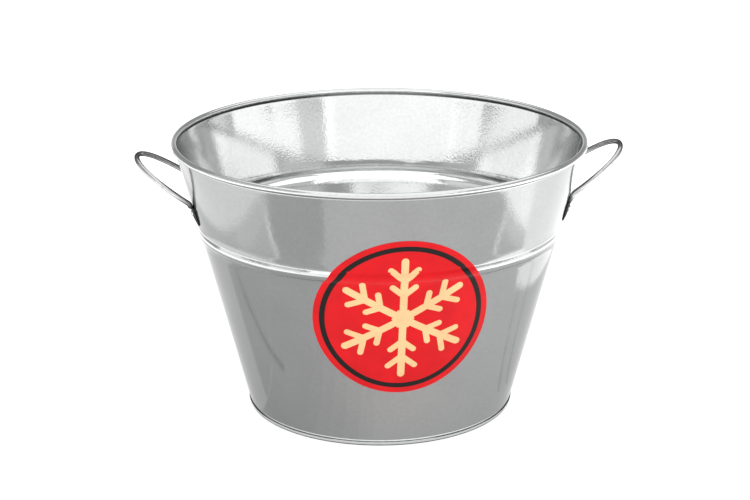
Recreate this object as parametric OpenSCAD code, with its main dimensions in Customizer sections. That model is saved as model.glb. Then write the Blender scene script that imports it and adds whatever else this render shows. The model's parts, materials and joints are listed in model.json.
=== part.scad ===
// Round tapered sheet-metal ice bucket with a rolled wire rim, a swaged bead,
// a double-seamed recessed base and two fixed, riveted wire handles.
// Millimetres, +Z up. The origin is the middle of the footprint, on the table.
// The printed front faces -Y and the handles stand out along +X and -X.

/* [Bucket] */
// Outer diameter over the rolled rim
rim_d = 320; // [300:1:340]
// Height from the table to the top of the rim
height = 214; // [205:1:230]
// Outer diameter of the wall's cone at table level
foot_d = 207; // [190:1:220]
// Thickness of the sheet metal
sheet = 0.4; // [0.3:0.05:0.6]
// Diameter of the steel wire that the rim is rolled round
rim_wire_d = 4; // [3:0.1:5]

/* [Bead] */
// Height of the middle of the swaged bead
bead_z = 145.3; // [130:0.1:146]
// Length of the bead up the wall
bead_h = 8; // [6:0.5:10]
// How far the bead stands out of the wall
bead_proud = 2.2; // [1:0.1:3]

/* [Seams] */
// Height of the double seam round the foot
chime_h = 3.2; // [2.5:0.1:5]
// Width of the folded side seam, which runs up the wall behind the right handle
seam_w = 6; // [4:0.5:9]
// How far the side seam stands out of the wall
seam_proud = 0.8; // [0.5:0.1:1.5]

/* [Base] */
// Height of the recessed base sheet above the table
base_rise = 5; // [4:0.5:8]
// Mean radius of the stiffening step pressed into the base sheet
step_r = 78; // [50:1:90]
// Height of the stiffening step
step_h = 1.2; // [0.5:0.1:2]
// Width of the step's slope
step_w = 3; // [2:0.5:6]

/* [Handles] */
// Diameter of the handle wire
handle_wire_d = 4; // [3.5:0.1:5]
// Distance between the two legs of one handle
handle_feet = 74; // [68:1:90]
// Distance from the bucket's axis to the outermost point of a handle
handle_reach = 188.5; // [180:0.5:200]
// Radius of the wire's centre line round the grip
crown_r = 32.5; // [25:0.5:33]
// Angle of the left handle above the horizontal
left_tilt = 34; // [25:0.5:45]
// Angle of the right handle above the horizontal
right_tilt = 35.5; // [25:0.5:45]
// Inside bend radius of the wire's centre line at the knee
knee_r = 5; // [3:0.5:8]
// Distance from the rivet up to the left handle's knee
left_knee = 7.5; // [6:0.5:14]
// Distance from the rivet up to the right handle's knee
right_knee = 12; // [6:0.5:14]

/* [Tongues] */
// Width of the flattened end of a leg
tongue_w = 7; // [6:0.5:9]
// Thickness of the flattened end at the rivet
tongue_t = 2; // [1.5:0.1:2.5]
// Thickness of the flattened end at its tip
tip_t = 0.9; // [0.5:0.1:1.5]
// Distance from the rivet down to the tip
tip_drop = 11; // [9:0.5:13]

/* [Rivets] */
// Height of the rivets on the wall
rivet_z = 165; // [162:0.1:175]
// Diameter of a rivet's shank, and of its holes
rivet_d = 3; // [2.5:0.1:3.5]
// Diameter of the domed head
head_d = 5.2; // [4.5:0.1:6]
// Height of the domed head
head_h = 1.3; // [1:0.1:2]
// Diameter of the upset tail inside the bucket
tail_d = 4.6; // [4:0.1:6]
// Height of the upset tail
tail_h = 1; // [0.6:0.1:1.5]
// Gap that lets the flat tail sit against the curved inside of the wall
seat_gap = 0.02; // [0.02:0.01:0.05]

/* [Decal] */
// Radius of the round vinyl decal on the front
decal_r = 64; // [40:1:70]
// Height of the decal's middle
decal_z = 112; // [100:1:120]
// Angle of the decal round from the middle of the front
decal_turn = 5; // [0:1:10]
// Thickness of the vinyl
decal_t = 0.15; // [0.1:0.05:0.3]

/* [Hidden] */
$fn = 96;

// The middle of the wall's sheet points at the centre of the rim wire.
rim_wire_r = rim_wire_d / 2;
curl_r = rim_wire_r + sheet;
curl_at = [rim_d / 2 - curl_r, height - curl_r];
rim_run = curl_at - [foot_d / 2, 0];
lean = atan2(rim_run.x, rim_run.y) + asin(sheet / 2 / norm(rim_run));
sheet_x = sheet / cos(lean);

// Outer radius of the plain cone, and of the wall with its bead, at height z
function cone_r(z) = foot_d / 2 + z * tan(lean);
bead_arc_r = (bead_h * bead_h / 4 + bead_proud * bead_proud) / (2 * bead_proud);
function bead_at(z) = abs(z - bead_z) >= bead_h / 2 ? 0
    : sqrt(bead_arc_r * bead_arc_r - (z - bead_z) * (z - bead_z)) - bead_arc_r + bead_proud;
function wall_r(z) = cone_r(z) + bead_at(z);

bead_steps = 10;
bead_heights = [for (i = [0:bead_steps]) bead_z - bead_h / 2 * cos(180 * i / bead_steps)];
function line_up(heights, offset) = [for (z = heights) [wall_r(z) + offset, z]];
function backwards(points) = [for (i = [len(points) - 1:-1:0]) points[i]];

// Below the rim wire the sheet bends inwards at a neck, then runs round the wire, from
// its inner side over the top. Directions round the wire are measured from across_wall,
// which is square to the wall, towards up_wall.
across_wall = [cos(lean), -sin(lean)];
up_wall = [sin(lean), cos(lean)];
function by_curl(p) = curl_at + p.x * across_wall + p.y * up_wall;
neck_bend = 45;
curl_start = 180 + neck_bend;
curl_end = 280;
// Where a face of the wall, that far out from the wire's centre, meets the tangent of
// the circle of radius r at curl_start
function neck(r, out) = by_curl([out, -(r + out * cos(neck_bend)) / sin(neck_bend)]);
function on_curl(r, a) = by_curl(r * [cos(a), sin(a)]);

hook_h = chime_h - 0.4;

// A handle's two feet stand foot_turn either side of its middle. At the foot with
// Y above zero, wall_out is square to the wall and foot_up runs up the tongue.
handle_wire_r = handle_wire_d / 2;
leg_y = handle_feet / 2;
foot_turn = asin(leg_y / (cone_r(rivet_z) + handle_wire_r * cos(lean)));
foot_lean = atan(tan(lean) / cos(foot_turn));
foot_roll = asin(sin(foot_turn) * sin(foot_lean));
foot_up = [sin(foot_lean), 0, cos(foot_lean)];
wall_out = [cos(lean) * cos(foot_turn), cos(lean) * sin(foot_turn), -sin(lean)];
rivet_at = [cone_r(rivet_z) * cos(foot_turn), cone_r(rivet_z) * sin(foot_turn), rivet_z];
function knee(rise) = rivet_at + handle_wire_r * wall_out + rise * foot_up;

// Each ring of a handle is a rounded rectangle, and a circle where the wire is round.
ring_sides = 12;
half_side = 180 / ring_sides;
function ring(at, along, out, thick, wide, round_r) = [
    for (a = [half_side:2 * half_side:360])
        at + (sign(cos(a)) * (thick / 2 - round_r) + round_r * cos(a) / cos(half_side)) * out
           + (sign(sin(a)) * (wide / 2 - round_r) + round_r * sin(a) / cos(half_side))
             * cross(along, out)];
function wire_ring(at, along, out) =
    ring(at, along, out, handle_wire_d, handle_wire_d, handle_wire_r);

module wall_sheet() {
    heights = concat([sheet], bead_heights);
    color("silver") difference() {
        union() {
            rotate_extrude() polygon(concat(
                [[cone_r(sheet) + sheet_x, sheet],
                 [cone_r(hook_h) + sheet_x, hook_h],
                 [cone_r(hook_h), hook_h]],
                line_up(bead_heights, 0),
                [neck(rim_wire_r, sheet / 2), on_curl(rim_wire_r, curl_start)],
                [on_curl(curl_r, curl_start), neck(curl_r, -sheet / 2)],
                backwards(line_up(heights, -sheet_x))));
            rotate_extrude() rim_curl();
            side_seam();
        }
        for (side = [-1, 1], row = [-1, 1])
            at_foot(side, row) rod(rivet_d, -tail_h - 2, 2);
    }
}

// Section of the sheet where it is rolled over the wire, and tucked under it outside
module rim_curl() {
    far = 2 * curl_r;
    difference() {
        translate(curl_at) circle(r = curl_r);
        translate(curl_at) circle(r = rim_wire_r);
        polygon([curl_at, on_curl(far, curl_start), on_curl(far, curl_end)]);
    }
}

// The folded seam is a strip of doubled sheet that follows the wall and its bead.
module side_seam() {
    heights = concat([chime_h], bead_heights, [neck(rim_wire_r, sheet / 2).y]);
    intersection() {
        rotate_extrude() polygon(concat(
            line_up(heights, -sheet_x / 2),
            backwards(line_up(heights, seam_proud))));
        translate([0, -seam_w / 2, 0]) cube([rim_d, seam_w, height]);
    }
}

module rim_wire() {
    color("gray") rotate_extrude() translate(curl_at) circle(r = rim_wire_r);
}

// The base sheet drops down inside the wall, turns under it and up outside its hook.
module base_pan() {
    top = base_rise + sheet;
    inner = step_r - step_w / 2;
    outer = step_r + step_w / 2;
    color("silver") rotate_extrude() polygon([
        [0, base_rise + step_h], [inner, base_rise + step_h], [outer, base_rise],
        [cone_r(base_rise) - 2 * sheet_x, base_rise],
        [cone_r(0) - 2 * sheet_x, 0],
        [cone_r(0) + 2 * sheet_x, 0],
        [cone_r(chime_h) + 2 * sheet_x, chime_h],
        [cone_r(chime_h) + sheet_x, chime_h],
        [cone_r(sheet) + sheet_x, sheet],
        [cone_r(sheet) - sheet_x, sheet],
        [cone_r(top) - sheet_x, top],
        [outer, top], [inner, top + step_h], [0, top + step_h]]);
}

// A cylinder along X from x0 to x1
module rod(d, x0, x1) {
    translate([x0, 0, 0]) rotate([0, 90, 0]) cylinder(d = d, h = x1 - x0);
}

// Puts a child on the wall at a foot's rivet: X out of the wall, Z up the tongue.
// side is 1 for the right handle and -1 for the left, row is -1 at the front.
module at_foot(side, row) {
    turn = side * row;
    rotate([0, 0, side > 0 ? 0 : 180])
    rotate([0, 0, turn * foot_turn])
    translate([cone_r(rivet_z), 0, rivet_z])
    rotate([0, lean, 0])
    rotate([turn * foot_roll, 0, 0])
    children();
}

// Rings up a tongue, from its rounded tip: [height above the rivet, thickness, width]
flat_half = head_d / 2 + 0.5;
tongue_shape = [
    [-tip_drop, tip_t / 2, tongue_w * 0.3],
    [-tip_drop + tongue_w * 0.08, tip_t * 0.8, tongue_w * 0.6],
    [-tip_drop + tongue_w * 0.22, tip_t, tongue_w * 0.84],
    [-tip_drop + tongue_w * 0.45, tip_t * 1.2, tongue_w],
    [-flat_half - 1, tongue_t * 0.9, tongue_w],
    [-flat_half, tongue_t, tongue_w],
    [flat_half, tongue_t, tongue_w],
    [flat_half + 0.8, (tongue_t * 2 + handle_wire_d) / 3, tongue_w * 0.8]];
function tongue_rings() = [
    for (s = tongue_shape)
        ring(rivet_at + s[0] * foot_up + s[1] / 2 * wall_out, foot_up, wall_out,
            s[1], s[2], s[1] * 0.35)];

// The wire bends from heading 90 - foot_lean on the wall down to the loop's tilt.
knee_steps = 5;
function setback(tilt) = knee_r * tan((90 - foot_lean - tilt) / 2);
function knee_rings(tilt, rise) = let (
    bend = 90 - foot_lean - tilt,
    start = knee(rise) - setback(tilt) * foot_up,
    middle = start + knee_r * [foot_up.z, 0, -foot_up.x]) [
    for (i = [0:knee_steps]) let (
        heading = tilt + bend * (1 - i / knee_steps),
        out = [sin(heading), 0, -cos(heading)])
        wire_ring(middle - knee_r * out, [cos(heading), 0, sin(heading)], out)];

// Half of the loop, in its tilted plane: a long arc up the leg, then a tight one to
// the middle of the grip. swing is how far the wire has turned towards the middle.
arc_steps = 5;
crown_steps = 7;
function loop_rings(tilt, rise) = let (
    corner = knee(rise),
    away = [cos(tilt), 0, sin(tilt)],
    out = [sin(tilt), 0, -cos(tilt)],
    reach = (handle_reach - handle_wire_r - corner.x) / cos(tilt),
    leg = reach - setback(tilt) - crown_r,
    side_r = (leg_y * leg_y + leg * leg - crown_r * crown_r) / (2 * (leg_y - crown_r)),
    meet = atan2(leg, side_r - leg_y),
    swings = concat(
        [for (i = [1:arc_steps]) meet * i / arc_steps],
        [for (i = [1:crown_steps]) meet + (90 - meet) * i / crown_steps])) [
    for (swing = swings) let (
        long = swing <= meet,
        r = long ? side_r : crown_r,
        v = setback(tilt) + (long ? 0 : leg) + r * sin(swing),
        u = (long ? leg_y - side_r : 0) + r * cos(swing))
        wire_ring([corner.x, 0, corner.z] + v * away + [0, u, 0],
            cos(swing) * away - [0, sin(swing), 0], out)];

// A whole handle is one bar, swept from one tip over the grip to the other.
module handle_bar(tilt, rise) {
    half = concat(tongue_rings(), knee_rings(tilt, rise), loop_rings(tilt, rise));
    rings = concat(half, [for (i = [len(half) - 2:-1:0]) [for (p = half[i]) [p.x, -p.y, p.z]]]);
    last = (len(rings) - 1) * ring_sides;
    polyhedron([for (r = rings, p = r) p], concat(
        [[for (j = [0:ring_sides - 1]) j]],
        [for (i = [0:len(rings) - 2], j = [0:ring_sides - 1]) let (
            k = (j + 1) % ring_sides, a = i * ring_sides, b = a + ring_sides)
            [a + j, b + j, b + k, a + k]],
        [[for (j = [ring_sides - 1:-1:0]) last + j]]), convexity = 6);
}

module handle(side, tilt, rise) {
    difference() {
        rotate([0, 0, side > 0 ? 0 : 180]) handle_bar(tilt, rise);
        for (row = [-1, 1]) at_foot(side, row) rod(rivet_d, -1, tongue_t + 1);
    }
}

// Domed head on the tongue, shank through both holes, tail upset inside the wall
module rivet(side, row) {
    rivet_r = rivet_d / 2;
    tail_r = tail_d / 2;
    dome_r = (head_d * head_d / 4 + head_h * head_h) / (2 * head_h);
    dome_at = tongue_t + head_h - dome_r;
    dome_turn = asin(head_d / 2 / dome_r);
    back = -sheet - seat_gap;
    bevel = tail_h * 0.3;
    color("gainsboro") at_foot(side, row) rotate([0, 90, 0]) rotate_extrude() polygon(concat(
        [[0, back - tail_h], [tail_r - bevel, back - tail_h], [tail_r, back - tail_h + bevel],
         [tail_r, back], [rivet_r, back], [rivet_r, tongue_t]],
        [for (i = [6:-1:0]) let (a = dome_turn * i / 6)
            [i == 0 ? 0 : dome_r * sin(a), dome_at + dome_r * cos(a)]]));
}

module left_handle() color("darkgray") handle(-1, left_tilt, left_knee);
module right_handle() color("darkgray") handle(1, right_tilt, right_knee);

// Printed vinyl, pressed over the wall and its bead
module front_decal() {
    margin = 2;
    heights = concat([decal_z - decal_r - margin], bead_heights, [decal_z + decal_r + margin]);
    color("firebrick") intersection() {
        rotate_extrude() polygon(concat(
            line_up(heights, 0), backwards(line_up(heights, decal_t))));
        rotate([0, 0, decal_turn]) translate([0, 0, decal_z])
            rotate([90, 0, 0]) cylinder(r = decal_r, h = rim_d / 2);
    }
}

wall_sheet();
rim_wire();
base_pan();
left_handle();
right_handle();
rivet(-1, -1);  // rivet_left_front
rivet(-1, 1);  // rivet_left_rear
rivet(1, -1);  // rivet_right_front
rivet(1, 1);  // rivet_right_rear
front_decal();
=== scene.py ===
"""Looks of a round, tapered sheet-metal ice bucket, built round its CAD frame.

Metres, in the frame's own axes: +Z up, the printed front faces -Y, and the handles stand
out along +X and -X. The order is sizes, mesh helpers, materials, pieces, then the studio.
"""
import json
import math

import bmesh
import bpy
from mathutils import Matrix, Vector, noise
from mathutils.geometry import delaunay_2d_cdt


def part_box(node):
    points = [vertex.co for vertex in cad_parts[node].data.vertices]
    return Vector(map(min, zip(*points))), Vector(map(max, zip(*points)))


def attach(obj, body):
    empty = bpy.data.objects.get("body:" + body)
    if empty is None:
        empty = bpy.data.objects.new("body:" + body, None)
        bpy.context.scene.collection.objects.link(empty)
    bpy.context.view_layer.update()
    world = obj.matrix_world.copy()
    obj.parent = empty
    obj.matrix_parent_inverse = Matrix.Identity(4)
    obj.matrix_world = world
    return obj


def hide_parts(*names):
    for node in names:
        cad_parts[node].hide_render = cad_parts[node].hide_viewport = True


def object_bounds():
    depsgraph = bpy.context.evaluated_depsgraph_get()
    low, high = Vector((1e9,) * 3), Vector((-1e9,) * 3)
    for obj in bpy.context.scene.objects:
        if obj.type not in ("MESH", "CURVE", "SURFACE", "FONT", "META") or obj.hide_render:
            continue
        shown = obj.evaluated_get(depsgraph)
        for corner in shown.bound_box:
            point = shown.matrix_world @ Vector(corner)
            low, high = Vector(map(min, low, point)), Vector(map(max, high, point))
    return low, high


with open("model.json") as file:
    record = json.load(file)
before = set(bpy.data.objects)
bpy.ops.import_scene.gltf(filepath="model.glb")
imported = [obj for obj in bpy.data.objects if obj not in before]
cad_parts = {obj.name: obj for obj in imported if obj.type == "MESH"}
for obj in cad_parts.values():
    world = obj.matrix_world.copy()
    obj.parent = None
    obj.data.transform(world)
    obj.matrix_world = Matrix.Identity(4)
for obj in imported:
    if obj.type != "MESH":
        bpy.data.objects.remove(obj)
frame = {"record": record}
cad_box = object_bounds()

# ---------------------------------------------------------------- sizes
MM = 0.001
BODY = "root"

# The sheet, and its wall from the foot up to the roll round the rim wire
SHEET = 0.4 * MM
wire_low, wire_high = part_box("rim_wire")
RIM_WIRE_R = (wire_high.z - wire_low.z) / 2
CURL_R = wire_high.x - RIM_WIRE_R
CURL_Z = wire_high.z - RIM_WIRE_R
FOOT_R = frame["record"]["mounts"][0]["pos_m"][0]
RIM_RUN = math.hypot(CURL_R - FOOT_R, CURL_Z)
LEAN = math.atan2(CURL_R - FOOT_R, CURL_Z) + math.asin(SHEET / 2 / RIM_RUN)
SHEET_X = SHEET / math.cos(LEAN)
NECK_BEND = math.radians(45)
NECK_R = 1.0 * MM
CURL_END = math.radians(-80)
NECK_Z = CURL_Z - 3.2 * MM
CURL_POINTS = 60

# The bead, which stands out all round
BEAD_Z = 145.3 * MM
BEAD_HALF = 4.7 * MM
BEAD_PROUD = 2.2 * MM
BEAD_POINTS = 31

# The double seam at the foot, and the base with its step
CHIME_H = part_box("base_pan")[0].z + 3.2 * MM
BASE_RISE = 5 * MM
STEP_R = 78 * MM
STEP_W = 3 * MM
STEP_H = 1.2 * MM

# The folded side seam
SEAM_HALF = 3 * MM
SEAM_PROUD = 0.8 * MM
SEAM_TOP = NECK_Z - 0.3 * MM

# The handles: round wire, whose flattened ends (tongues) are riveted to the wall
HANDLE_R = 2 * MM
LEG_Y = 37 * MM
CROWN_R = 32.5 * MM
KNEE_R = 5 * MM
KNEE_RISE = {"left": 7.5 * MM, "right": 12 * MM}
RIVET_Z = 165 * MM
TONGUE_W = 7 * MM
TONGUE_T = 2 * MM
TIP_T = 0.9 * MM
TIP_SHARE = 0.55
TIP_DROP = 11 * MM
FLAT_HALF = 3.1 * MM
TILTS = {"left": math.radians(34), "right": math.radians(35.5)}

# The rolled sheet's unevenness
DENT = 0.12 * MM
DENT_SIZE = 55 * MM

# Points closer together than this are one
WELD = 0.001 * MM


def smooth(low, high, x):
    """Rises from 0 to 1 as x goes from low to high."""
    t = min(max((x - low) / (high - low), 0), 1)
    return t * t * (3 - 2 * t)


def spread(start, end, count):
    """Evenly spaced numbers, both ends included."""
    return [start + (end - start) * i / (count - 1) for i in range(count)]


def every(start, end, step):
    """Numbers a step apart, from the start to just under the end."""
    return [start + step * i for i in range(math.ceil((end - start) / step))]


def cone_r(z):
    """Radius of the wall's outer face without bead and dents."""
    return FOOT_R + z * math.tan(LEAN)


def bead_at(z):
    """How far the bead stands out at that height."""
    s = (z - BEAD_Z) / BEAD_HALF
    return BEAD_PROUD * (1 - s * s) ** 1.5 if abs(s) < 1 else 0


def dent_at(angle, z):
    """Slight unevenness of the rolled sheet, which is stiff at the foot, bead and rim."""
    free = smooth(2 * MM, 25 * MM, z) * (1 - smooth(CURL_Z - 22 * MM, CURL_Z - 3 * MM, z))
    free *= smooth(0.2 * BEAD_HALF, 3.5 * BEAD_HALF, abs(z - BEAD_Z))
    if free == 0:
        return 0
    r = cone_r(z)
    spot = Vector((r * math.cos(angle), r * math.sin(angle), z * 0.6)) / DENT_SIZE
    return DENT * free * noise.noise(spot)


def wall_r(angle, z):
    """Radius of the wall's outer face, with bead and dents."""
    return cone_r(z) + bead_at(z) + dent_at(angle, z)


# ---------------------------------------------------------------- mesh helpers
def make_piece(name, points, faces, finish, replaces=(), sharp=38):
    """A closed mesh that rides on the frame and stands for the CAD nodes it replaces."""
    mesh = bpy.data.meshes.new(name)
    mesh.from_pydata([tuple(p) for p in points], [], faces)
    bm = bmesh.new()
    bm.from_mesh(mesh)
    bmesh.ops.remove_doubles(bm, verts=bm.verts, dist=WELD)
    loose = [v for v in bm.verts if not v.link_faces]
    bmesh.ops.delete(bm, geom=loose, context="VERTS")
    bmesh.ops.recalc_face_normals(bm, faces=bm.faces)
    bm.to_mesh(mesh)
    bm.free()
    mesh.shade_smooth()
    mesh.set_sharp_from_angle(angle=math.radians(sharp))
    mesh.materials.append(finish)
    piece = bpy.data.objects.new(name, mesh)
    bpy.context.scene.collection.objects.link(piece)
    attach(piece, BODY)
    if replaces:
        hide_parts(*replaces)
    return piece


def circle(radius, sides=180):
    """Corners of a regular outline of that many sides."""
    return [(radius * math.cos(a), radius * math.sin(a))
            for a in spread(0, 2 * math.pi, sides + 1)[:-1]]


def grid_faces(rows, columns, close_rows=False, close_columns=False):
    """Quads between the points of a grid that is stored row by row."""
    faces = []
    for i in range(rows if close_rows else rows - 1):
        for j in range(columns if close_columns else columns - 1):
            a, b = i * columns, (i + 1) % rows * columns
            k = (j + 1) % columns
            faces.append((a + j, a + k, b + k, b + j))
    return faces


def rounded(path, radii, steps=6):
    """The path with each inner corner replaced by an arc of its radius."""
    out = [Vector(path[0])]
    for before, corner, after, radius in zip(path, path[1:], path[2:], radii):
        corner = Vector(corner)
        back, on = (Vector(before) - corner), (Vector(after) - corner)
        back.normalize()
        on.normalize()
        half = back.angle(on) / 2
        reach = radius / math.tan(half)
        centre = corner + (back + on).normalized() * radius / math.sin(half)
        start = corner + back * reach - centre
        sweep = (math.pi - 2 * half) * (1 if back.cross(on) < 0 else -1)
        for i in range(steps + 1):
            turn = Matrix.Rotation(sweep * i / steps, 2)
            out.append(centre + turn @ start)
    out.append(Vector(path[-1]))
    return out


def thicken(path, thickness):
    """Closed outline of a sheet of that thickness, with round edges, on its middle line."""
    path = [Vector(p) for p in path]
    left, right = [], []
    for i, p in enumerate(path):
        along = path[min(i + 1, len(path) - 1)] - path[max(i - 1, 0)]
        side = Vector((-along.y, along.x)).normalized() * thickness / 2
        left.append(p + side)
        right.append(p - side)
    last = (path[-1] - path[-2]).normalized() * thickness / 2
    first = (path[0] - path[1]).normalized() * thickness / 2
    return left + [path[-1] + last] + right[::-1] + [path[0] + first]


def lathe(outline, columns):
    """Points and faces of a closed outline of (radius, height) turned about Z."""
    points = []
    for r, z in outline:
        for j in range(columns):
            angle = 2 * math.pi * j / columns
            points.append((r * math.cos(angle), r * math.sin(angle), z))
    return points, grid_faces(len(outline), columns, True, True)


# ---------------------------------------------------------------- materials
class Finish:
    """A material's node tree, with short calls for the nodes that the finishes share."""

    def __init__(self, name, values):
        self.material = bpy.data.materials.new(name)
        self.material.use_nodes = True
        tree = self.material.node_tree
        self.nodes, self.links = tree.nodes, tree.links
        self.shader = self.nodes["Principled BSDF"]
        for key, value in values.items():
            self.shader.inputs[key].default_value = value
        self.place = self.nodes.new("ShaderNodeTexCoord").outputs["Object"]

    def stretched(self, scale):
        """The place on the piece, scaled along each axis."""
        node = self.nodes.new("ShaderNodeMapping")
        node.inputs["Scale"].default_value = scale
        self.links.new(self.place, node.inputs["Vector"])
        return node.outputs["Vector"]

    def noise(self, size, detail=2.0, rough=0.5, place=None):
        """Noise round 0.5, with spots of about that size."""
        node = self.nodes.new("ShaderNodeTexNoise")
        node.inputs["Scale"].default_value = 1 / size
        node.inputs["Detail"].default_value = detail
        node.inputs["Roughness"].default_value = rough
        self.links.new(place or self.place, node.inputs["Vector"])
        return node.outputs["Fac"]

    def ramp(self, value, low, high, to_low, to_high):
        """Goes from to_low to to_high as the value goes from low to high."""
        node = self.nodes.new("ShaderNodeMapRange")
        for key, number in zip(("From Min", "From Max", "To Min", "To Max"),
                               (low, high, to_low, to_high)):
            node.inputs[key].default_value = number
        self.links.new(value, node.inputs["Value"])
        return node.outputs["Result"]

    def inside(self):
        """1 on faces that look at the bucket's axis, or about straight up or down, from the
        foot to just over the middle of the rim wire. 0 elsewhere."""
        dot = self.nodes.new("ShaderNodeVectorMath")
        dot.operation = "DOT_PRODUCT"
        self.links.new(self.stretched((1, 1, 0)), dot.inputs[0])
        self.links.new(self.place.node.outputs["Normal"], dot.inputs[1])
        inward = self.math("LESS_THAN", dot.outputs["Value"], 20 * MM)
        below = self.math("LESS_THAN", self.height(), CURL_Z + MM)
        return self.math("MULTIPLY", inward, below)

    def upward(self):
        """How far a face looks up: 1 straight up, 0 sideways and -1 straight down."""
        node = self.nodes.new("ShaderNodeSeparateXYZ")
        self.links.new(self.place.node.outputs["Normal"], node.inputs["Vector"])
        return node.outputs["Z"]

    def height(self):
        node = self.nodes.new("ShaderNodeSeparateXYZ")
        self.links.new(self.place, node.inputs["Vector"])
        return node.outputs["Z"]

    def math(self, operation, a, b):
        node = self.nodes.new("ShaderNodeMath")
        node.operation = operation
        for socket, value in zip(node.inputs, (a, b)):
            if isinstance(value, (int, float)):
                socket.default_value = value
            else:
                self.links.new(value, socket)
        return node.outputs["Value"]

    def blend(self, factor, a, b):
        """The tone a where the factor is 0 and b where it is 1."""
        node = self.nodes.new("ShaderNodeMix")
        node.data_type = "RGBA"
        for key, tone in (("A", a), ("B", b)):
            if isinstance(tone, tuple):
                node.inputs[key].default_value = (*tone, 1)
            else:
                self.links.new(tone, node.inputs[key])
        self.links.new(factor, node.inputs["Factor"])
        return node.outputs["Result"]

    def set(self, name, value):
        self.links.new(value, self.shader.inputs[name])

    def bump(self, *layers):
        """Adds up bumps, each given as (height, depth in metres)."""
        last = None
        for height, depth in layers:
            node = self.nodes.new("ShaderNodeBump")
            node.inputs["Distance"].default_value = depth
            self.links.new(height, node.inputs["Height"])
            if last:
                self.links.new(last, node.inputs["Normal"])
            last = node.outputs["Normal"]
        self.links.new(last, self.shader.inputs["Normal"])


# How far the sheet's outer tone goes towards the inner one on the rim's roll and on the
# bead's upper slope, which are painted highlights, and how far it goes towards near-black
# painted shade under the roll
ROLL_HIGHLIGHT = 0.6
SLOPE_HIGHLIGHT = 0.75
PAINTED_SHADE_SHARE = 0.7
PAINTED_SHADE = (0.03, 0.03, 0.03)


def shade(tone, share):
    """The tone made darker or lighter."""
    return tuple(share * c for c in tone)


def sheet_finish(name, outer_tone, inner_tone):
    """Tinned sheet: pebbly grain, faint cloudiness and rolling lines. Its colour carries painted
    light: painted light inside, painted highlights round the foot's seam, on the rim's roll and
    on the bead's upper slope, a darker painted-shade tone on the rest of the outside, and
    near-black painted shade under the roll and where it stands on the floor."""
    f = Finish(name, {"Metallic": 0.9, "Specular Tint": (0.75, 0.75, 0.75, 1)})
    cloud = f.noise(45 * MM, 3.0)
    grain = f.noise(1.7 * MM, 1.0)
    fine = f.noise(0.5 * MM, 2.0)
    lines = f.noise(1.0 * MM, 2.0, place=f.stretched((1, 1, 0.03)))
    speckle = f.noise(2.4 * MM, 2.0)
    patch = f.ramp(f.math("ADD", cloud, speckle), 0.65, 1.35, 0, 1)
    # The outer and inner tones are one sheet's shaded and lit copies: painted shade outside,
    # painted light inside
    outer, inner = (f.blend(patch, shade(tone, 0.94), shade(tone, 1.06))
                    for tone in (outer_tone, inner_tone))
    # Painted highlights: round the foot's seam, on the rim's roll and on the bead's upward-facing
    # slope the outer tone goes towards the inner one
    foot_seam = f.math("LESS_THAN", f.height(), CHIME_H + 1.5 * MM)
    roll = f.ramp(f.height(), NECK_Z - 0.5 * MM, NECK_Z + 0.5 * MM, 0, ROLL_HIGHLIGHT)
    ends = f.math("MAXIMUM", foot_seam, roll)
    slope = f.math("MULTIPLY", f.ramp(f.upward(), -0.06, 0.14, 0, SLOPE_HIGHLIGHT),
                   f.math("LESS_THAN", f.height(), NECK_Z))
    bright = f.math("MAXIMUM", f.math("MAXIMUM", f.inside(), ends), slope)
    # Painted shade: near black along the bottom edge, below 1.3 mm, and on the roll's downward
    # faces
    off_floor = f.ramp(f.height(), 0.6 * MM, 1.3 * MM, 0, 1)
    under_roll = f.math("MULTIPLY", f.ramp(f.upward(), -0.45, -0.15, PAINTED_SHADE_SHARE, 0),
                        f.math("GREATER_THAN", f.height(), NECK_Z))
    unshaded = f.math("MULTIPLY", off_floor, f.math("SUBTRACT", 1.0, under_roll))
    f.set("Base Color", f.blend(unshaded, PAINTED_SHADE, f.blend(bright, outer, inner)))
    worn = f.math("ADD", f.ramp(cloud, 0.35, 0.65, 0.055, 0.095),
                  f.ramp(lines, 0.3, 0.7, 0.0, 0.03))
    f.set("Roughness", worn)
    f.bump((grain, 0.045 * MM), (fine, 0.004 * MM), (lines, 0.003 * MM))
    return f.material


def wire_finish(name, tone, rough, painted_shade_tone=None):
    """Drawn or plated wire, with small scuffs. The painted shade tone, when given, is painted
    shade on a handle's tongues and on the downward faces of its wire."""
    f = Finish(name, {"Metallic": 1, "Specular Tint": (0.1, 0.1, 0.1, 1)})
    scuff = f.noise(6 * MM, 4.0, 0.65)
    fine = f.noise(0.6 * MM, 2.0)
    base = f.blend(f.ramp(scuff, 0.4, 0.7, 0, 1), tone, shade(tone, 0.75))
    if painted_shade_tone:
        # Painted shade: the tongues, below the knee, and the wire's downward faces take the shade
        # tone
        above = f.ramp(f.height(), RIVET_Z + 5 * MM, RIVET_Z + 11 * MM, 0, 1)
        open_side = f.ramp(f.upward(), -0.9, -0.4, 0, 1)
        base = f.blend(f.math("MULTIPLY", above, open_side), painted_shade_tone, base)
    f.set("Base Color", base)
    f.set("Roughness", f.ramp(scuff, 0.35, 0.7, rough, rough + 0.12))
    f.bump((fine, 0.006 * MM), (scuff, 0.03 * MM))
    return f.material


def vinyl_finish(name, tone):
    """Printed vinyl, satin, pressed over the grain of the sheet."""
    f = Finish(name, {"Specular IOR Level": 0.15})
    ink = f.noise(18 * MM, 3.0)
    press = f.noise(1.9 * MM, 1.0)
    f.set("Base Color", f.blend(f.ramp(ink, 0.35, 0.65, 0, 1), tone, shade(tone, 0.86)))
    f.set("Roughness", f.ramp(ink, 0.3, 0.7, 0.28, 0.38))
    f.bump((press, 0.012 * MM))
    return f.material


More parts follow.
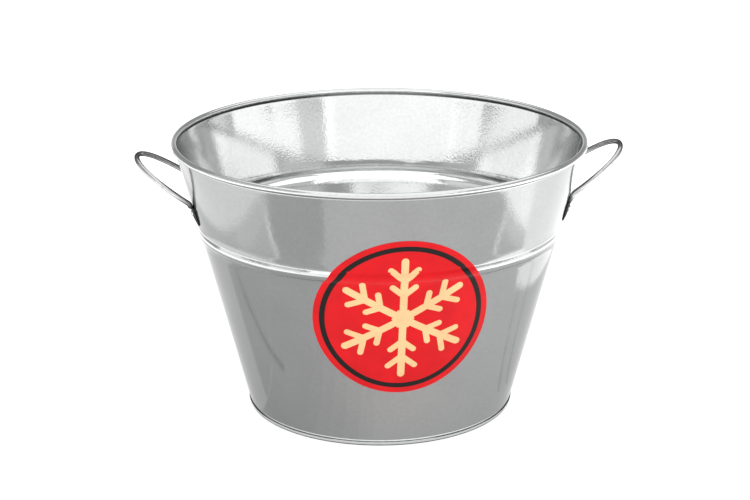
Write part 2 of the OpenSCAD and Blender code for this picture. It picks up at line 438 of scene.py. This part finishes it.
# The dark outer tone and the light inner tone are painted shade and painted light on one sheet
TINNED = sheet_finish("tinned_sheet", (0.272, 0.278, 0.276), (0.77, 0.783, 0.779))
BASE = sheet_finish("tinned_base", (0.50, 0.51, 0.507), (0.50, 0.51, 0.507))
# The handles' last tone is painted shade on their tongues and under their wire
PLATED = wire_finish("plated_wire", (0.50, 0.50, 0.50), 0.06, (0.05, 0.05, 0.05))
DRAWN = wire_finish("drawn_wire", (0.36, 0.36, 0.37), 0.25)
RIVET = wire_finish("rivet_metal", (0.50, 0.50, 0.50), 0.15)
RED = vinyl_finish("red_vinyl", (0.62, 0.004, 0.008))
DARK = vinyl_finish("dark_print", (0.008, 0.007, 0.006))
CREAM = vinyl_finish("cream_print", (0.80, 0.52, 0.26))


# ---------------------------------------------------------------- wall
def by_curl(reach, turn):
    """(radius, height) that far from the rim wire's centre. Turn 0 points out of the wall."""
    return (CURL_R + reach * math.cos(turn - LEAN), CURL_Z + reach * math.sin(turn - LEAN))


def wall_outline():
    """(radius, height) round the sheet's section, from the foot to the tucked edge."""
    straight = every(0.8 * MM, NECK_Z - 2 * MM, 5 * MM)
    low, high = BEAD_Z - BEAD_HALF, BEAD_Z + BEAD_HALF
    bead = spread(low, high, BEAD_POINTS)
    heights = sorted([z for z in straight if not low - MM < z < high + MM] + bead)
    middle = [(cone_r(z) - SHEET_X / 2 + bead_at(z), z) for z in heights]
    arc_r = RIM_WIRE_R + SHEET / 2
    arc_start = math.pi + NECK_BEND
    neck = by_curl(arc_r / math.sin(NECK_BEND), -math.pi / 2)
    middle += rounded([middle[-1], neck, by_curl(arc_r, arc_start)], [NECK_R])[1:-1]
    middle += [by_curl(arc_r, turn) for turn in spread(arc_start, CURL_END, CURL_POINTS)]
    return thicken(middle, SHEET)


SEAM_EDGE = 0.45 * MM
GROOVE_Y = 0.93 * SEAM_HALF
GROOVE = 0.15 * MM
# Columns of points on one half of the seam, in mm from its middle, close at its edge
SEAM_COLUMNS = [-3.6, -3.1, -3.0, -2.9, -2.8, -2.68, -2.55, -2.4, -1.2]
WALL_COLUMNS = 320


def seam_lift(y, z, outside):
    """How far the folded side seam stands out of the sheet at that place. On the inside it
    shows as a shallow groove along one edge."""
    along = smooth(CHIME_H - MM, CHIME_H, z) * (1 - smooth(SEAM_TOP - MM, SEAM_TOP, z))
    if outside:
        edge = smooth(0, SEAM_EDGE, SEAM_HALF - abs(y))
        return SEAM_PROUD * edge * along
    groove = 1 - smooth(0.05 * MM, 0.25 * MM, abs(y - GROOVE_Y))
    return GROOVE * groove * along


def build_wall():
    outline = wall_outline()
    half = len(outline) // 2
    seam_y = [y * MM for y in SEAM_COLUMNS] + [0] + [-y * MM for y in SEAM_COLUMNS[::-1]]
    points = []
    for i, (r, z) in enumerate(outline):
        edge = math.asin(seam_y[-1] / r)
        angles = [math.asin(y / r) for y in seam_y]
        angles += spread(edge, 2 * math.pi - edge, WALL_COLUMNS + 2)[1:-1]
        outside = cone_r(z) + bead_at(z) - r < SHEET_X / 2
        for j, angle in enumerate(angles):
            lift = seam_lift(seam_y[j], z, outside) if j < len(seam_y) else 0
            reach = r + lift + dent_at(angle, z)
            points.append((reach * math.cos(angle), reach * math.sin(angle), z))
    faces = grid_faces(len(outline), len(seam_y) + WALL_COLUMNS, True, True)
    return make_piece("bucket_wall", points, faces, TINNED, ["wall_sheet"])


# ---------------------------------------------------------------- rim wire and base
def build_rim_wire():
    section = [(CURL_R + x, CURL_Z + z) for x, z in circle(RIM_WIRE_R, 24)]
    points, faces = lathe(section, 240)
    return make_piece("rolled_rim_wire", points, faces, DRAWN, ["rim_wire"])


def build_base():
    flat = BASE_RISE + SHEET / 2
    lay = 1.5 * SHEET_X
    step_bend, floor_bend, seam_bend = 1.5 * MM, 1.2 * MM, 0.95 * lay
    middle = rounded(
        [(0, flat + STEP_H), (STEP_R - STEP_W / 2, flat + STEP_H), (STEP_R + STEP_W / 2, flat),
         (cone_r(BASE_RISE) - lay, flat), (cone_r(0) - lay, SHEET / 2),
         (cone_r(0) + lay, SHEET / 2), (cone_r(CHIME_H) + lay, CHIME_H - SHEET / 2)],
        [step_bend, step_bend, floor_bend, seam_bend, seam_bend])
    points, faces = lathe(thicken(middle, SHEET), 256)
    return make_piece("seamed_base", points, faces, BASE, ["base_pan"])


# ---------------------------------------------------------------- handles and rivets
FOOT_TURN = math.asin(LEG_Y / (cone_r(RIVET_Z) + HANDLE_R * math.cos(LEAN)))
FOOT_LEAN = math.atan(math.tan(LEAN) / math.cos(FOOT_TURN))
FOOT_ROLL = math.asin(math.sin(FOOT_TURN) * math.sin(FOOT_LEAN))
FOOT_UP = Vector((math.sin(FOOT_LEAN), 0, math.cos(FOOT_LEAN)))
WALL_OUT = Vector((math.cos(LEAN) * math.cos(FOOT_TURN),
                   math.cos(LEAN) * math.sin(FOOT_TURN), -math.sin(LEAN)))
RIVET_AT = Vector((cone_r(RIVET_Z) * math.cos(FOOT_TURN),
                   cone_r(RIVET_Z) * math.sin(FOOT_TURN), RIVET_Z))
WIRE_SIDES = 32


def knee_at(side):
    """Where a leg would turn away from the wall if its bend were sharp."""
    return RIVET_AT + HANDLE_R * WALL_OUT + KNEE_RISE[side] * FOOT_UP


def ring(at, along, out, thick, wide, corner):
    """A rounded rectangle square to along, thick in the direction out."""
    across = along.cross(out)
    points = []
    for j in range(WIRE_SIDES):
        a = 2 * math.pi * (j + 0.5) / WIRE_SIDES
        x = math.copysign(thick / 2 - corner, math.cos(a)) + corner * math.cos(a)
        y = math.copysign(wide / 2 - corner, math.sin(a)) + corner * math.sin(a)
        points.append(at + x * out + y * across)
    return points


def wire_ring(at, along, out):
    return ring(at, along, out, 2 * HANDLE_R, 2 * HANDLE_R, HANDLE_R)


def tongue_rings(top):
    """The flattened end of a leg, from its round tip, whose edge is thinner still, up to
    where the wire is round. Its rings stand closer together at the tip."""
    rings = []
    tip_r = TONGUE_W / 2
    stations = [tip_r * (1 - math.cos(a)) for a in spread(0.12, math.pi / 2, 10)]
    stations += spread(tip_r, TIP_DROP + FLAT_HALF, 12)[1:]
    stations += spread(TIP_DROP + FLAT_HALF, TIP_DROP + top, 9)[1:-1]
    for up in stations:
        short = max(tip_r - up, 0)
        wide = 2 * math.sqrt(tip_r ** 2 - short ** 2)
        thick = TIP_T + (TONGUE_T - TIP_T) * smooth(0, TIP_DROP - FLAT_HALF, up)
        thick *= TIP_SHARE + (1 - TIP_SHARE) * smooth(0, 1.2 * MM, up)
        drawn = smooth(TIP_DROP + FLAT_HALF, TIP_DROP + top, up)
        thick += (2 * HANDLE_R - thick) * drawn
        wide += (2 * HANDLE_R - wide) * drawn
        corner = min(thick, wide) * (0.35 + 0.15 * drawn)
        at = RIVET_AT + (up - TIP_DROP) * FOOT_UP + thick / 2 * WALL_OUT
        rings.append(ring(at, FOOT_UP, WALL_OUT, thick, wide, corner))
    return rings


def knee_rings(knee, tilt, setback):
    """The bend from up the wall to the loop's tilt, which starts setback below the knee."""
    start = knee - setback * FOOT_UP
    middle = start + KNEE_R * Vector((FOOT_UP.z, 0, -FOOT_UP.x))
    rings = []
    for heading in spread(math.pi / 2 - FOOT_LEAN, tilt, 14):
        out = Vector((math.sin(heading), 0, -math.cos(heading)))
        along = Vector((math.cos(heading), 0, math.sin(heading)))
        rings.append(wire_ring(middle - KNEE_R * out, along, out))
    return rings


def loop_rings(knee, tilt, setback, reach_x):
    """Half of the loop: a long arc up the leg, then a tight one to the grip's middle."""
    away = Vector((math.cos(tilt), 0, math.sin(tilt)))
    out = Vector((math.sin(tilt), 0, -math.cos(tilt)))
    reach = (reach_x - HANDLE_R - knee.x) / math.cos(tilt)
    rise = reach - setback - CROWN_R
    side_r = (LEG_Y ** 2 + rise ** 2 - CROWN_R ** 2) / (2 * (LEG_Y - CROWN_R))
    meet = math.atan2(rise, side_r - LEG_Y)
    swings = spread(0, meet, 22)[1:] + spread(meet, math.pi / 2, 27)[1:]
    rings = []
    for swing in swings:
        long = swing <= meet
        r = side_r if long else CROWN_R
        v = setback + (0 if long else rise) + r * math.sin(swing)
        u = (LEG_Y - side_r if long else 0) + r * math.cos(swing)
        at = knee + v * away + Vector((0, u - LEG_Y, 0))
        rings.append(wire_ring(at, math.cos(swing) * away - Vector((0, math.sin(swing), 0)), out))
    return rings


def build_handle(side):
    tilt, knee = TILTS[side], knee_at(side)
    reach_x = max(abs(corner.x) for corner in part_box(side + "_handle"))
    setback = KNEE_R * math.tan((math.pi / 2 - FOOT_LEAN - tilt) / 2)
    half = (tongue_rings(KNEE_RISE[side] - setback) + knee_rings(knee, tilt, setback)
            + loop_rings(knee, tilt, setback, reach_x))
    mirrored = [[Vector((p.x, -p.y, p.z)) for p in r] for r in half[-2::-1]]
    rings = half + mirrored
    face = 1 if side == "right" else -1
    points = [(face * p.x, face * p.y, p.z) for r in rings for p in r]
    faces = grid_faces(len(rings), WIRE_SIDES, close_columns=True)
    last = (len(rings) - 1) * WIRE_SIDES
    faces.append(tuple(range(WIRE_SIDES)))
    faces.append(tuple(last + j for j in range(WIRE_SIDES)))
    return make_piece(side + "_wire_handle", points, faces, PLATED,
                      [side + "_handle"], sharp=50)


def foot_matrix(side, row):
    """Puts a shape made about Z on the wall at a rivet: Z becomes out of the wall."""
    face = 1 if side == "right" else -1
    turn = face * row
    spin = turn * FOOT_TURN + (0 if face > 0 else math.pi)
    return (Matrix.Rotation(spin, 4, "Z")
            @ Matrix.Translation((cone_r(RIVET_Z), 0, RIVET_Z))
            @ Matrix.Rotation(LEAN, 4, "Y")
            @ Matrix.Rotation(turn * FOOT_ROLL, 4, "X")
            @ Matrix.Rotation(math.pi / 2, 4, "Y"))


def build_rivet(side, row, row_name):
    """A domed head on the tongue, a shank through the wall and a flat tail inside it."""
    shank_r, head_r, tail_r = 1.5 * MM, 2.6 * MM, 2.3 * MM
    head_h, tail_h = 1.3 * MM, 1.0 * MM
    seat_gap, tail_bend, shank_bend = 0.02 * MM, 0.45 * MM, 0.12 * MM
    dome_share = 0.97
    dome_r = (head_r ** 2 + head_h ** 2) / (2 * head_h)
    dome_turn = math.asin(head_r / dome_r)
    back = -SHEET - seat_gap
    tail = rounded([(0, back - tail_h), (tail_r, back - tail_h), (tail_r, back), (shank_r, back)],
                   [tail_bend, shank_bend])
    dome = [(dome_r * math.sin(a), TONGUE_T + head_h - dome_r * (1 - math.cos(a)))
            for a in spread(dome_turn * dome_share, 0, 12)]
    outline = [tuple(p) for p in tail] + [(shank_r, TONGUE_T), (head_r * dome_share, TONGUE_T)]
    outline += dome
    points, faces = lathe(outline, 40)
    place = foot_matrix(side, row)
    name = f"{side}_{row_name}_rivet"
    return make_piece(name, [place @ Vector(p) for p in points], faces, RIVET,
                      [f"rivet_{side}_{row_name}"])


# ---------------------------------------------------------------- decal
decal_low, decal_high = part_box("front_decal")
DECAL_Z = (decal_low.z + decal_high.z) / 2
DECAL_R = (decal_high.z - decal_low.z) / 2
DECAL_TURN = math.radians(5)
VINYL_T = 0.15 * MM
PRINT_LIFT = 0.02 * MM
PRINT_T = 0.06 * MM
# Steps between a layer's points, away from the bead and on it
COARSE = 3 * MM
FINE = 1 * MM
FINE_ROWS = 0.5 * MM


def finely(outline, step=0.6 * MM):
    """The outline with points added, so that it can follow the bead."""
    out = []
    for a, b in zip(outline, outline[1:] + outline[:1]):
        a, b = Vector(a), Vector(b)
        count = max(1, math.ceil((b - a).length / step))
        out += [a.lerp(b, i / count) for i in range(count)]
    return out


def bar(start, end, width):
    """Outline of a straight bar with round ends."""
    start, end = Vector(start), Vector(end)
    lean = math.atan2(end.y - start.y, end.x - start.x)
    outline = []
    for centre, turn in ((end, lean - math.pi / 2), (start, lean + math.pi / 2)):
        for a in spread(turn, turn + math.pi, 9):
            outline.append(centre + Vector((math.cos(a), math.sin(a))) * width / 2)
    return outline


def on_wall(u, v, lift):
    """A flat design's point (u across, v up from its middle) laid on the wall."""
    z = DECAL_Z + v
    r = wall_r(DECAL_TURN - math.pi / 2 + math.asin(u / cone_r(z)), z) + lift
    flat = Vector((u, -math.sqrt(r * r - u * u), z))
    return Matrix.Rotation(DECAL_TURN, 3, "Z") @ flat


def build_layer(name, outlines, low, high, finish, hole_r=0, replaces=()):
    """A closed skin on the wall, between two lifts, that covers the outlines' union. Its
    points are closer together on the bead."""
    corners, rings = [], []
    hole = [circle(hole_r)] if hole_r else []
    for outline in map(finely, outlines + hole):
        rings.append(list(range(len(corners), len(corners) + len(outline))))
        corners += outline
    bead_v = BEAD_Z - DECAL_Z
    rows = [(v, COARSE) for v in every(-DECAL_R, DECAL_R, COARSE)
            if abs(v - bead_v) > BEAD_HALF + MM]
    rows += [(v, FINE) for v in every(bead_v - BEAD_HALF, bead_v + BEAD_HALF, FINE_ROWS)]
    for v, step in rows:
        corners += [Vector((u, v)) for u in every(-DECAL_R, DECAL_R, step)
                    if math.hypot(u, v) < DECAL_R - 0.5 * MM]
    flat, _, triangles, *_ = delaunay_2d_cdt(corners, [], rings, 1, WELD)
    faces = []
    for t in triangles:
        middle = sum((flat[i] for i in t), Vector((0, 0))) / len(t)
        if middle.length > hole_r:
            faces.append(tuple(t))
    count = len(flat)
    points = [on_wall(p.x, p.y, high) for p in flat] + [on_wall(p.x, p.y, low) for p in flat]
    edges = {}
    for t in faces:
        for a, b in zip(t, t[1:] + t[:1]):
            edges[a, b] = edges.get((a, b), 0) + 1
    sides = [(a, b, b + count, a + count) for a, b in edges if (b, a) not in edges]
    under = [tuple(i + count for i in reversed(t)) for t in faces]
    return make_piece(name, points, faces + sides + under, finish, replaces)


def snowflake():
    """Six equal arms, each a bar with pairs of side bars."""
    outlines = [circle(0.13 * DECAL_R, 6)]
    for k in range(6):
        a = math.radians(90 + 60 * k)
        arm = Vector((math.cos(a), math.sin(a)))
        outlines.append(bar((0, 0), 0.74 * DECAL_R * arm, 0.085 * DECAL_R))
        for share, length in ((0.30, 0.17), (0.50, 0.20)):
            root = share * DECAL_R * arm
            for turn in (-1, 1):
                b = a + turn * math.radians(50)
                tip = root + length * DECAL_R * Vector((math.cos(b), math.sin(b)))
                outlines.append(bar(root, tip, 0.07 * DECAL_R))
    return outlines


def build_decal():
    build_layer("decal_base", [circle(DECAL_R)], 0.0, VINYL_T, RED, replaces=["front_decal"])
    low, high = VINYL_T + PRINT_LIFT, VINYL_T + PRINT_LIFT + PRINT_T
    build_layer("decal_border", [circle(0.93 * DECAL_R)], low, high, DARK,
                hole_r=0.87 * DECAL_R)
    build_layer("decal_snowflake", snowflake(), low, high, CREAM)


build_wall()
build_rim_wire()
build_base()
for side in ("left", "right"):
    build_handle(side)
    for row, row_name in ((-1, "front"), (1, "rear")):
        build_rivet(side, row, row_name)
build_decal()

# ---------------------------------------------------------------- studio
MIDDLE = Vector((0, 0, (cad_box[0].z + cad_box[1].z) / 2))
SCREEN_DISTANCE = 1.5
FLOOR_HALF = 8.0
FLOOR_CELLS = 16
FLOOR_Z = -0.1 * MM
PAPER_GLOW = 0.65
PAPER_TONES = (0.69, 0.71)


def panel(name, place, facing, width, height, radiance):
    """A soft light panel with its own brightness, which shines towards facing."""
    lamp = bpy.data.lights.new(name, "AREA")
    lamp.shape = "RECTANGLE"
    lamp.size, lamp.size_y = width, height
    lamp.energy = radiance * math.pi * width * height
    light = bpy.data.objects.new(name, lamp)
    light.location = place
    light.rotation_mode = "QUATERNION"
    light.rotation_quaternion = (-Vector(facing)).to_track_quat("Z", "Y")
    light.visible_camera = False
    bpy.context.scene.collection.objects.link(light)


def screen(name, azimuths, elevations, radiance):
    """A standing panel that fills these angles, seen from the bucket. Azimuth 0 is in
    front and 90 at +X."""
    azimuth, half_turn = sum(azimuths) / 2, abs(azimuths[1] - azimuths[0]) / 2
    low, high = (SCREEN_DISTANCE * math.tan(math.radians(e)) for e in elevations)
    a = math.radians(azimuth)
    away = Vector((math.sin(a), -math.cos(a), 0))
    place = MIDDLE + away * SCREEN_DISTANCE + Vector((0, 0, (low + high) / 2))
    width = 2 * SCREEN_DISTANCE * math.tan(math.radians(half_turn))
    panel(name, place, -away, width, high - low, radiance)


def floor_panel(name, x_range, y_range, radiance):
    """A glowing sheet on the floor, which the wall's outside reflects."""
    place = Vector((sum(x_range) / 2, sum(y_range) / 2, 0.5 * MM))
    width, depth = (abs(r[1] - r[0]) for r in (x_range, y_range))
    panel(name, place, (0, 0, 1), width, depth, radiance)


def sector(azimuths, inner, outer):
    """Corners of a part of a ring round the bucket. Azimuth 0 is in front and 90 at +X."""
    turns = [math.radians(a) for a in spread(*azimuths, 16)]
    rim = [(inner, a) for a in turns] + [(outer, a) for a in reversed(turns)]
    return [(r * math.sin(a), -r * math.cos(a)) for r, a in rim]


def streak(start, end, width):
    """Corners of a thin oblong between two places on the floor."""
    start, end = Vector(start), Vector(end)
    along = (end - start).normalized() * width / 2
    side = Vector((-along.y, along.x))
    return [start - side, end - side, end + side, start + side]


def paper(name, share=1.0):
    """Backlit studio paper, or a card with a share of its brightness."""
    f = Finish(name, {"Roughness": 0.9, "Specular IOR Level": 0.1,
                      "Emission Color": (1, 1, 1, 1), "Emission Strength": PAPER_GLOW * share})
    low, high = ((tone * share,) * 3 for tone in PAPER_TONES)
    f.set("Base Color", f.blend(f.noise(0.4, 3.0), low, high))
    return f.material


def stage_piece(name, points, faces, finish):
    """A part of the studio, which isn't a part of the bucket."""
    mesh = bpy.data.meshes.new(name)
    mesh.from_pydata(points, [], faces)
    mesh.materials.append(finish)
    piece = bpy.data.objects.new(name, mesh)
    bpy.context.scene.collection.objects.link(piece)
    return piece


def card(name, corners, share, height=0.3 * MM):
    """A card on the floor, duller than the paper, that only shows in reflections: painted shade
    on the floor for the wall to reflect.
    """
    points = [(x, y, height) for x, y in corners]
    piece = stage_piece(name, points, [tuple(range(len(points)))], paper(name, share))
    piece.visible_camera = piece.visible_diffuse = piece.visible_shadow = False


def build_floor():
    edge = spread(-FLOOR_HALF, FLOOR_HALF, FLOOR_CELLS + 1)
    points = [(x, y, FLOOR_Z) for y in edge for x in edge]
    stage_piece("studio_floor", points, grid_faces(len(edge), len(edge)), paper("studio_paper"))


def build_backdrop():
    """A far round wall of the same paper, for low views. It doesn't show in reflections."""
    ring = circle(FLOOR_HALF - 0.1, 64)
    points = [(x, y, z) for z in (FLOOR_Z, FLOOR_HALF) for x, y in ring]
    faces = grid_faces(2, len(ring), close_columns=True)
    wall = stage_piece("studio_backdrop", points, faces, paper("backdrop_paper"))
    wall.visible_glossy = wall.visible_diffuse = wall.visible_shadow = False


def build_world(brightness):
    world = bpy.data.worlds.new("studio")
    world.use_nodes = True
    background = world.node_tree.nodes["Background"]
    background.inputs["Color"].default_value = (1, 1, 1, 1)
    background.inputs["Strength"].default_value = brightness
    bpy.context.scene.world = world


def build_camera():
    """The photographed viewpoint: above the rim, a little to the left of the front."""
    azimuth, turn = math.radians(-2.26), math.radians(2.11)
    distance, height = 1.387, 0.579
    pitch, roll = math.radians(18.28), math.radians(-0.20)
    focal_share = 2.4777
    camera = bpy.data.cameras.new("camera")
    camera.sensor_width = 36
    camera.lens = focal_share * camera.sensor_width
    camera.clip_start, camera.clip_end = 0.01, 50
    eye = bpy.data.objects.new("camera", camera)
    eye.location = (distance * math.sin(azimuth), -distance * math.cos(azimuth), height)
    eye.rotation_mode = "QUATERNION"
    aim = (Matrix.Rotation(-turn, 3, "Z") @ Matrix.Rotation(math.pi / 2 - pitch, 3, "X")
           @ Matrix.Rotation(roll, 3, "Z"))
    eye.rotation_quaternion = aim.to_quaternion()
    bpy.context.scene.collection.objects.link(eye)
    bpy.context.scene.camera = eye


def build_screens():
    """Standing screens, which the inside, the rim and the handles reflect."""
    screen("upper_front_screen", (-45, 45), (26, 60), 1.1)
    screen("front_screen", (-50, 33), (-3, 26), 0.85)
    screen("left_front_screen", (-70, -50), (-3, 17.5), 0.85)
    screen("left_screen", (-112, -70), (-3, 14.5), 0.75)
    screen("near_front_screen", (33, 50), (-3, 18), 0.4)
    screen("right_front_screen", (50, 68), (-3, 17.5), 0.9)
    screen("right_screen", (68, 98), (-3, 15.5), 0.9)
    screen("upper_left_screen", (-112, -50), (18, 45), 0.4)
    screen("upper_right_screen", (27, 98), (18, 45), 0.2)
    screen("rear_right_screen", (98, 150), (-3, 10), 0.45)
    screen("rear_screen", (150, 210), (-3, 18), 0.45)


def build_floor_panels():
    """Sheets that brighten the flanks, strips that soften their edges, and two thin lines
    that show as bright streaks. None overlaps another."""
    front, split, back = -0.7, -0.03, 1.2
    left_edge, left_near = -0.350, -0.31
    right_near, right_step, right_edge, far = 0.262, 0.32, 0.345, 1.6
    floor_panel("left_sheet", (-far, left_edge), (front, back), 0.75)
    floor_panel("left_strip", (left_edge, left_near), (-0.178, -0.017), 0.2)
    floor_panel("right_front_sheet", (right_edge, far), (front, split), 1.7)
    floor_panel("right_rear_sheet", (right_near, right_step), (split, back), 1.1)
    floor_panel("right_far_sheet", (right_step, far), (split, back), 1.25)
    floor_panel("right_strip", (0.31, right_edge), (-0.14, split), 0.4)
    floor_panel("left_line", (left_near, -0.244), (-0.164, -0.158), 1.5)
    floor_panel("right_line", (right_near, right_edge), (-0.148, -0.142), 1.5)


def build_cards():
    """Cards of painted shade that darken the wall's left side, in steps towards the front, and
    thin ones that show as dark streaks, which are painted reflections."""
    inner, outer = FOOT_R + 3.5 * MM, 0.30
    left_share, left_end, step_turn = 0.77, -40, 7
    card("left_card", sector((-68, left_end), inner, outer), left_share)
    rear_corners = [(-0.115, -0.045), (-0.278, -0.112), (-0.32, -0.02), (-0.30, 0.07)]
    card("left_rear_card", rear_corners, left_share)
    card("left_outer_card", sector((-60, -30), outer, 0.40), left_share)
    for step, share in enumerate((0.79, 0.83, 0.87, 0.92, 0.96)):
        start = step_turn * step + left_end
        corners = sector((start, start + step_turn), inner, outer - 0.025 * step)
        card(f"left_fade_{step}", corners, share)
    streak_z = 0.6 * MM
    card("left_streak", streak((-0.32, 0.04), (-0.14, -0.088), 5 * MM), 0.45, streak_z)
    card("right_streak", streak((0.118, -0.042), (0.27, -0.008), 3 * MM), 0.68, streak_z)
    card("far_right_streak", streak((0.125, -0.02), (0.31, 0.06), 4 * MM), 0.74, streak_z)


build_floor()
build_backdrop()
build_world(0.4)
build_camera()
panel("overhead_softbox", (0.5, 0.6, 2.5), (0, 0, -1), 4.0, 4.0, 1.2)
build_screens()
build_floor_panels()
build_cards()
bpy.context.scene.view_settings.view_transform = "Standard"
